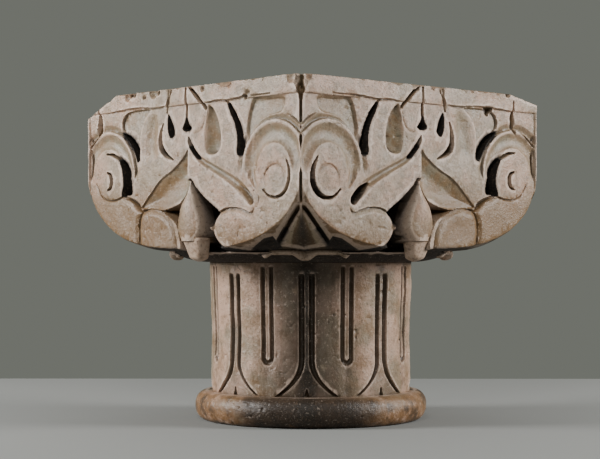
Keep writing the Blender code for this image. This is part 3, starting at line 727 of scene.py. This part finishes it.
def grid_mesh(name, points, first, last):
    """Closed mesh of a stack of rings, lowest first and turning with +Z, with two end points."""
    rows, around = points.shape[:2]
    index = np.arange(rows * around).reshape(rows, around)
    ahead = np.roll(index, -1, axis=1)
    quads = np.stack([index[:-1], ahead[:-1], ahead[1:], index[1:]], axis=2).reshape(-1, 4)
    under = np.stack([ahead[0], index[0], np.full(around, rows * around)], axis=1)
    over = np.stack([index[-1], ahead[-1], np.full(around, rows * around + 1)], axis=1)
    mesh = bpy.data.meshes.new(name)
    vertices = np.concatenate([points.reshape(-1, 3), [first, last]])
    corners = np.concatenate([quads.ravel(), under.ravel(), over.ravel()])
    sizes = np.concatenate([np.full(len(quads), 4), np.full(2 * around, 3)])
    mesh.vertices.add(len(vertices))
    mesh.vertices.foreach_set("co", vertices.ravel())
    mesh.loops.add(len(corners))
    mesh.loops.foreach_set("vertex_index", corners)
    mesh.polygons.add(len(sizes))
    mesh.polygons.foreach_set("loop_start", np.cumsum(sizes) - sizes)
    mesh.update(calc_edges=True)
    return mesh


def note(mesh, name, values):
    """Store one number for each point of a mesh, which its material reads."""
    mesh.attributes.new(name, "FLOAT", "POINT").data.foreach_set("value", values)


def link(name, mesh):
    """New object in the scene."""
    made = bpy.data.objects.new(name, mesh)
    bpy.context.scene.collection.objects.link(made)
    return made


def evaluated(made):
    """Mesh of an object with its modifiers applied; the object is removed."""
    mesh = bpy.data.meshes.new_from_object(
        made.evaluated_get(bpy.context.evaluated_depsgraph_get()))
    bpy.data.objects.remove(made)
    return mesh


def placed(turn, out, across, height):
    """Point at a distance out along the direction turn, and across it."""
    return (out * math.cos(turn) - across * math.sin(turn),
            out * math.sin(turn) + across * math.cos(turn), height)


def squarish(value):
    """A sine or cosine changed so that it draws a rounded square and not a circle."""
    return math.copysign(abs(value) ** KNOB_SQUARENESS, value)


def knob(turn):
    """Tapered block that hangs under the drop of one face."""
    low = BLOCK_BOTTOM + KNOB_DROP
    high = BLOCK_BOTTOM + KNOB_SHELF
    out = BLOCK_SIDE / 2 - KNOB_INSET
    rings = []
    for share in np.linspace(0.0, 1.0, KNOB_RINGS):
        soft = smooth_step((share + 0.03) / 0.2) ** 0.5
        soft = soft * (1.0 - 0.06 * smooth_step((share - 0.9) / 0.1))
        wide = (KNOB_TIP_WIDTH + (KNOB_WIDTH - KNOB_TIP_WIDTH) * share) / 2 * soft
        deep = KNOB_OUT / 2 * (0.7 + 0.3 * share) * soft
        axis = out - KNOB_LEAN * (1.0 - share)
        height = low + (high - low) * share
        ring = []
        for k in range(KNOB_POINTS):
            angle = 2 * math.pi * (k + 0.5) / KNOB_POINTS
            ring.append(placed(turn, axis + deep * squarish(math.cos(angle)),
                               wide * squarish(math.sin(angle)), height))
        rings.append(ring)
    mesh = grid_mesh("knob", np.array(rings), placed(turn, out - KNOB_LEAN, 0.0, low),
                     placed(turn, out, 0.0, high))
    note(mesh, "clean_and_painted_light", np.ones(len(mesh.vertices)))
    return link("knob", mesh)


def curls(turn):
    """Double curl under one corner, a bent roll whose top is seated in the underside."""
    rings = []
    for share in np.linspace(-1.0, 1.0, CURL_RINGS):
        side = abs(share)
        tip = smooth_step((side - 0.80) / 0.20)
        foot = BLOCK_BOTTOM + CURL_FOOT + CURL_ARCH * smooth_step((side - 0.06) / 0.28)
        foot = foot - CURL_TIP_FOOT_DROP * tip
        top = BLOCK_BOTTOM + BOWL_NECK_RISE + CURL_SEAT - CURL_TIP_TOP_DROP * tip
        thick = CURL_THICKNESS / 2 * (1.0 - 0.30 * tip)
        tall = (top - foot) / 2
        out = BOWL_NECK_RADIUS + CURL_PAST_NECK - thick - CURL_ENDS_BACK * share ** 2
        out = out - CURL_MIDDLE_BACK * (1.0 - smooth_step(side / 0.14))
        ring = []
        for k in range(CURL_POINTS):
            angle = 2 * math.pi * k / CURL_POINTS
            ring.append(placed(turn, out + thick * math.sin(angle), CURL_SPAN * share,
                               foot + tall + tall * math.cos(angle)))
        rings.append(ring)
    out = BOWL_NECK_RADIUS + CURL_PAST_NECK - CURL_CAPS_BACK
    caps = [placed(turn, out, side * CURL_SPAN * CURL_CAPS_SPAN, foot + tall) for side in (-1, 1)]
    mesh = grid_mesh("curls", np.array(rings), *caps)
    note(mesh, "clean_and_painted_light", np.ones(len(mesh.vertices)))
    return link("curls", mesh)


def note_depths(mesh):
    """Keep points between the beds, and note how far each lies inside the plain shape.

    "behind" is how far the plain shape itself lies behind the face of the block there.
    """
    points = np.empty(len(mesh.vertices) * 3)
    mesh.vertices.foreach_get("co", points)
    points[2::3] = np.clip(points[2::3], 0.0, TOP)
    mesh.vertices.foreach_set("co", points)
    x, y, z = points.reshape(-1, 3).T
    flat = np.maximum(np.abs(x), np.abs(y))
    turn = np.arctan2(np.minimum(np.abs(x), np.abs(y)), np.maximum(flat, 1e-6))
    rows = profile_rows()
    rows = rows[np.argsort(rows[:, 1], kind="stable")]
    skin = np.minimum(np.interp(z, rows[:, 1], rows[:, 0]), BLOCK_SIDE / 2 / np.cos(turn))
    on_bed = z > BED_POINTS_FROM
    note(mesh, "deep", np.where(on_bed, 0.0, np.maximum(skin * np.cos(turn) - flat, 0.0)))
    note(mesh, "behind", BLOCK_SIDE / 2 - skin * np.cos(turn))
    # The bed of the top is plain
    for name in ("proud", "slit", "nose_painted_light_and_shade"):
        values = np.empty(len(z))
        mesh.attributes[name].data.foreach_get("value", values)
        mesh.attributes[name].data.foreach_set("value", np.where(on_bed, 0.0, values))


def carved_marble():
    """The whole stone as one closed mesh."""
    half = np.linspace(0.0, HALF, int(HALF / FACE_STEP) + 1)
    columns = np.concatenate([-half[::-1], half[1:-1]])
    points, notes = carved_points(profile_rows(), columns)
    mesh = grid_mesh("stone", points, (0.0, 0.0, 0.0), (0.0, 0.0, TOP))
    for name, field in zip(("proud", "slit", "nose_painted_light_and_shade"), notes):
        note(mesh, name, np.append(field, [0.0, 0.0]))
    note(mesh, "clean_and_painted_light", np.zeros(len(mesh.vertices)))
    stone = link("stone", mesh)
    thin = stone.modifiers.new("thin", "DECIMATE")
    thin.ratio = TRIANGLES / sum(len(face.vertices) - 2 for face in stone.data.polygons)
    stone = link("stone", evaluated(stone))
    hanging = [knob(k * math.pi / 2) for k in range(4)]
    hanging += [curls(k * math.pi / 2 + math.pi / 4) for k in range(4)]
    for form in hanging:
        union = stone.modifiers.new("union", "BOOLEAN")
        union.operation = "UNION"
        union.solver = "MANIFOLD"
        union.object = form
    mesh = evaluated(stone)
    for form in hanging:
        bpy.data.objects.remove(form)
    note_depths(mesh)
    return mesh


class Nodes:
    """Small helper that adds and joins nodes of one material."""

    def __init__(self, material):
        self.tree = material.node_tree

    def add(self, kind, **values):
        """New node with some of its settings."""
        node = self.tree.nodes.new(kind)
        for key, value in values.items():
            setattr(node, key, value)
        return node

    def join(self, source, target):
        """Link an output to an input."""
        self.tree.links.new(source, target)

    def noted(self, name):
        """What a mesh notes under this name."""
        return self.add("ShaderNodeAttribute", attribute_name=name).outputs["Fac"]

    def noise(self, place, scale, detail, rough):
        """Noise over space, about 0.5."""
        node = self.add("ShaderNodeTexNoise")
        node.inputs["Scale"].default_value = scale
        node.inputs["Detail"].default_value = detail
        node.inputs["Roughness"].default_value = rough
        self.join(place, node.inputs["Vector"])
        return node.outputs["Fac"]

    def between(self, value, low, high):
        """Smooth 0 to 1 as the value goes from low to high; high may be the smaller."""
        node = self.add("ShaderNodeMapRange", interpolation_type="SMOOTHSTEP")
        node.inputs["From Min"].default_value = low
        node.inputs["From Max"].default_value = high
        self.join(value, node.inputs["Value"])
        return node.outputs["Result"]

    def maths(self, operation, *values):
        """Result of a sum on numbers or outputs."""
        node = self.add("ShaderNodeMath", operation=operation)
        for socket, value in zip(node.inputs, values):
            if isinstance(value, (int, float)):
                socket.default_value = value
            else:
                self.join(value, socket)
        return node.outputs["Value"]

    def without(self, share):
        """What is left of 1 beside a share."""
        return self.maths("SUBTRACT", 1.0, share)

    def times(self, *values):
        """Product of numbers or outputs."""
        result = values[0]
        for value in values[1:]:
            result = self.maths("MULTIPLY", result, value)
        return result

    def lay(self, under, over, *shares):
        """Lay a colour over another, by the product of some shares from 0 to 1."""
        node = self.add("ShaderNodeMix", data_type="RGBA")
        self.join(self.times(*shares), node.inputs["Factor"])
        for socket, value in ((node.inputs["A"], under), (node.inputs["B"], over)):
            if isinstance(value, tuple):
                socket.default_value = (*value, 1.0)
            else:
                self.join(value, socket)
        return node.outputs["Result"]


def marble():
    """Aged marble: warm grey, green-grey painted shade in hollows, ochre on the lower lobes and the
    ring.
    """
    material = bpy.data.materials.new("aged_marble")
    material.use_nodes = True
    kit = Nodes(material)
    shader = material.node_tree.nodes["Principled BSDF"]
    place = kit.add("ShaderNodeTexCoord").outputs["Object"]
    parted = kit.add("ShaderNodeSeparateXYZ")
    kit.join(place, parted.inputs["Vector"])
    x, y, height = (parted.outputs[axis] for axis in "XYZ")
    proud, deep, slit, nose_painted_light_and_shade, behind, clean_and_painted_light = (
        kit.noted(name) for name in ("proud", "deep", "slit", "nose_painted_light_and_shade", "behind", "clean_and_painted_light"))
    soiled = kit.without(clean_and_painted_light)
    broad = kit.noise(place, 24.0, 6.0, 0.62)
    patches = kit.noise(place, 62.0, 8.0, 0.66)
    blots = kit.noise(place, 130.0, 8.0, 0.70)
    speckle = kit.noise(place, 420.0, 4.0, 0.7)
    grain = kit.noise(place, 1300.0, 2.0, 0.6)

    # Pinkish beige and warm grey, mottled
    colour = kit.lay(PINK_BEIGE, WARM_GREY, kit.between(broad, 0.38, 0.60))
    colour = kit.lay(colour, PALE_BEIGE, kit.between(patches, 0.52, 0.74), 0.7)
    colour = kit.lay(colour, BROWN_GREY, kit.between(blots, 0.47, 0.66), 0.78)

    # Greenish grey painted shade in the hollows of the block, and ochre in patches
    block = kit.times(kit.between(height, BLOCK_BOTTOM - 0.002, BLOCK_BOTTOM + 0.006), soiled)
    hollow = kit.times(kit.between(deep, 0.0018, 0.0055), block)
    colour = kit.lay(colour, PAINTED_HOLLOW_SHADE, hollow, 0.68)
    colour = kit.lay(colour, OCHRE, hollow, kit.between(patches, 0.42, 0.60), 0.72)
    # Dark painted shade at the bottom of the cuts
    below_top = kit.between(height, TOP - 0.012, TOP - 0.022)
    colour = kit.lay(colour, PAINTED_CUT_SHADE, kit.between(deep, 0.0080, 0.0120), block, below_top, 0.90)

    # Ochre stain that thickens towards the underside of the block, higher up on the far lobes
    far = kit.between(kit.times(x, y), 0.0005, 0.0030)
    high = kit.times(kit.between(height, BLOCK_BOTTOM + 0.080, BLOCK_BOTTOM + 0.040), far)
    low = kit.between(height, BLOCK_BOTTOM + 0.046, BLOCK_BOTTOM + 0.012)
    low = kit.times(kit.maths("MAXIMUM", high, low), block)
    spread_out = kit.maths("ADD", blots, kit.times(low, 0.42))
    colour = kit.lay(colour, LOBE_STAIN, low, kit.between(spread_out, 0.46, 0.68), 0.88)

    # Soffit: stained where it turns away, then brown painted shade, black painted shadow at its
    # inner edge
    turned = kit.times(kit.between(behind, 0.0002, 0.0050), block)
    colour = kit.lay(colour, SOFFIT_STAIN, turned, kit.between(blots, 0.34, 0.52), 0.86)
    # Painted shade, brown, where the underside turns in
    colour = kit.lay(colour, SOFFIT_PAINTED_SHADE, kit.between(behind, 0.0060, 0.0200), block, 0.50)
    # Painted highlight on the sides of the nose leaf
    colour = kit.lay(colour, NOSE_PAINTED_HIGHLIGHT, kit.between(nose_painted_light_and_shade, -0.05, -0.45), 0.85)
    # Painted shadow, black, along the inner edge of the underside
    under = kit.times(kit.between(height, BLOCK_BOTTOM + 0.0140, BLOCK_BOTTOM + 0.0105),
                      kit.between(height, BLOCK_BOTTOM - 0.0012, BLOCK_BOTTOM - 0.0004), soiled)
    colour = kit.lay(colour, SOFFIT_PAINTED_SHADOW, under, 0.95)

    # The drum in ochre patches, the ring browner still with dark patches, painted shade in the
    # grooves
    drum = kit.between(height, BLOCK_BOTTOM + 0.001, BLOCK_BOTTOM - 0.004)
    colour = kit.lay(colour, DRUM_PINK, drum, kit.between(broad, 0.60, 0.42), 0.60)
    colour = kit.lay(colour, DRUM_STAIN, drum, kit.between(patches, 0.47, 0.62), 0.62)
    ring = kit.between(height, RING_HEIGHT + 0.002, RING_HEIGHT - 0.003)
    colour = kit.lay(colour, RING_BROWN, ring, kit.between(blots, 0.30, 0.52), 0.92)
    colour = kit.lay(colour, SOOT_AND_PAINTED_SHADE, ring, kit.between(patches, 0.48, 0.64), 0.80)
    # Painted shade in the grooves of the drum
    below_block = kit.between(height, BLOCK_BOTTOM - 0.001, BLOCK_BOTTOM - 0.003)
    colour = kit.lay(colour, SOOT_AND_PAINTED_SHADE, kit.between(deep, 0.0012, 0.0032), below_block, soiled, 0.72)

    # Painted shade on the front of the drum and ring, and down the middle of the nose leaf
    # Painted shade over the front of the drum and ring
    ahead = kit.between(kit.maths("SUBTRACT", x, y), 0.100, 0.131)
    below_block = kit.between(height, BLOCK_BOTTOM + 0.002, BLOCK_BOTTOM - 0.002)
    colour = kit.lay(colour, PAINTED_FRONT_SHADE, ahead, below_block, kit.between(patches, 0.20, 0.42), 0.92)
    # Painted shade down the middle of the nose leaf
    colour = kit.lay(colour, NOSE_PAINTED_SHADE, nose_painted_light_and_shade, 0.86)
    # Knobs and curls: clean of stain, and paler as painted light
    colour = kit.lay(colour, CLEAN_STONE_PAINTED_LIGHT, clean_and_painted_light, kit.between(blots, 0.66, 0.44), 0.8)

    # Darker in the creases, except on the bed of the top, paler on proud edges, painted shade in
    # slits
    reach = kit.maths("MAXIMUM", kit.maths("ABSOLUTE", x), kit.maths("ABSOLUTE", y))
    bed = kit.times(kit.between(height, TOP - 0.012, TOP - 0.006),
                    kit.between(reach, BLOCK_SIDE / 2 - 0.008, BLOCK_SIDE / 2 - 0.014))
    carved = kit.without(bed)
    colour = kit.lay(colour, DARK_CREASE, kit.between(proud, -0.00012, -0.0014), carved, 0.86)
    unstained = kit.without(kit.times(low, far, 0.8))
    colour = kit.lay(colour, PALE_EDGE, kit.between(proud, 0.00016, 0.0009), unstained, 0.62)
    # Painted shade, black, in the slits
    shade = kit.times(kit.between(deep, 0.0017, 0.0030), slit, carved)
    colour = kit.lay(colour, SLIT_PAINTED_SHADE, shade, 0.97)

    # Fine speckle and dark pores
    colour = kit.lay(colour, PORE, kit.between(speckle, 0.53, 0.68), 0.78)
    pale = kit.between(speckle, 0.44, 0.28)
    colour = kit.lay(colour, PALE_SPECKLE, pale, kit.without(shade), 0.36)
    kit.join(colour, shader.inputs["Base Color"])

    # Satin where it is worn, dull in blots and in the darkest places
    rough = kit.add("ShaderNodeMapRange")
    rough.inputs["To Min"].default_value = 0.22
    rough.inputs["To Max"].default_value = 0.62
    kit.join(blots, rough.inputs["Value"])
    dull = kit.times(kit.maths("MAXIMUM", under, shade), 0.45)
    kit.join(kit.maths("ADD", rough.outputs["Result"], dull), shader.inputs["Roughness"])
    shader.inputs["Specular IOR Level"].default_value = 0.35
    bump = kit.add("ShaderNodeBump")
    bump.inputs["Strength"].default_value = 0.55
    bump.inputs["Distance"].default_value = 0.0009
    kit.join(kit.maths("ADD", speckle, kit.times(grain, 0.35)), bump.inputs["Height"])
    kit.join(bump.outputs["Normal"], shader.inputs["Normal"])
    return material


def studio():
    """Pale floor, soft lights from both sides, weak ones from above and in front, the camera."""
    right = Vector((math.cos(CAMERA_TURN), math.sin(CAMERA_TURN), 0.0))
    toward = Vector((math.sin(CAMERA_TURN), -math.cos(CAMERA_TURN), 0.0))
    floor = link("floor", bpy.data.meshes.new("floor"))
    work = bmesh.new()
    for side, front in ((-FLOOR_SIDE, -FLOOR_BACK), (FLOOR_SIDE, -FLOOR_BACK),
                        (FLOOR_SIDE, FLOOR_FRONT), (-FLOOR_SIDE, FLOOR_FRONT)):
        work.verts.new(right * side + toward * front)
    work.faces.new(reversed(list(work.verts)))
    work.to_mesh(floor.data)
    work.free()
    cover = bpy.data.materials.new("floor")
    cover.use_nodes = True
    shader = cover.node_tree.nodes["Principled BSDF"]
    shader.inputs["Base Color"].default_value = (*FLOOR_COLOUR, 1.0)
    shader.inputs["Roughness"].default_value = 0.9
    floor.data.materials.append(cover)

    world = bpy.data.worlds.new("studio")
    world.use_nodes = True
    air = world.node_tree.nodes["Background"]
    air.inputs["Color"].default_value = (*AIR_COLOUR, 1.0)
    air.inputs["Strength"].default_value = AIR_STRENGTH
    bpy.context.scene.world = world

    lit_point = Vector((0.0, 0.0, LIT_HEIGHT))
    for name, side, front, height, size, power in LIGHTS:
        lamp = bpy.data.lights.new(name, "AREA")
        lamp.shape = "SQUARE"
        lamp.size = size
        lamp.energy = power
        held = bpy.data.objects.new(name, lamp)
        bpy.context.scene.collection.objects.link(held)
        held.location = right * side + toward * front + Vector((0.0, 0.0, height))
        held.rotation_euler = (lit_point - held.location).to_track_quat("-Z", "Y").to_euler()

    lens = bpy.data.cameras.new("camera")
    lens.lens = LENS
    lens.sensor_width = SENSOR_WIDTH
    camera = bpy.data.objects.new("camera", lens)
    bpy.context.scene.collection.objects.link(camera)
    camera.location = toward * CAMERA_DISTANCE + Vector((0.0, 0.0, CAMERA_HEIGHT))
    aim = right * AIM_RIGHT + Vector((0.0, 0.0, AIM_HEIGHT))
    camera.rotation_euler = (aim - camera.location).to_track_quat("-Z", "Y").to_euler()
    bpy.context.scene.camera = camera


studio()
stone = link("carved_marble", carved_marble())
stone.data.materials.clear()
stone.data.materials.append(marble())
stone.data.shade_smooth()
stone.data.set_sharp_from_angle(angle=SHARP_ANGLE)
stone.data.polygons.foreach_set("use_smooth", [face.center.z < BED_FACES_FROM
                                               for face in stone.data.polygons])
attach(stone, "root")
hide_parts("capital")
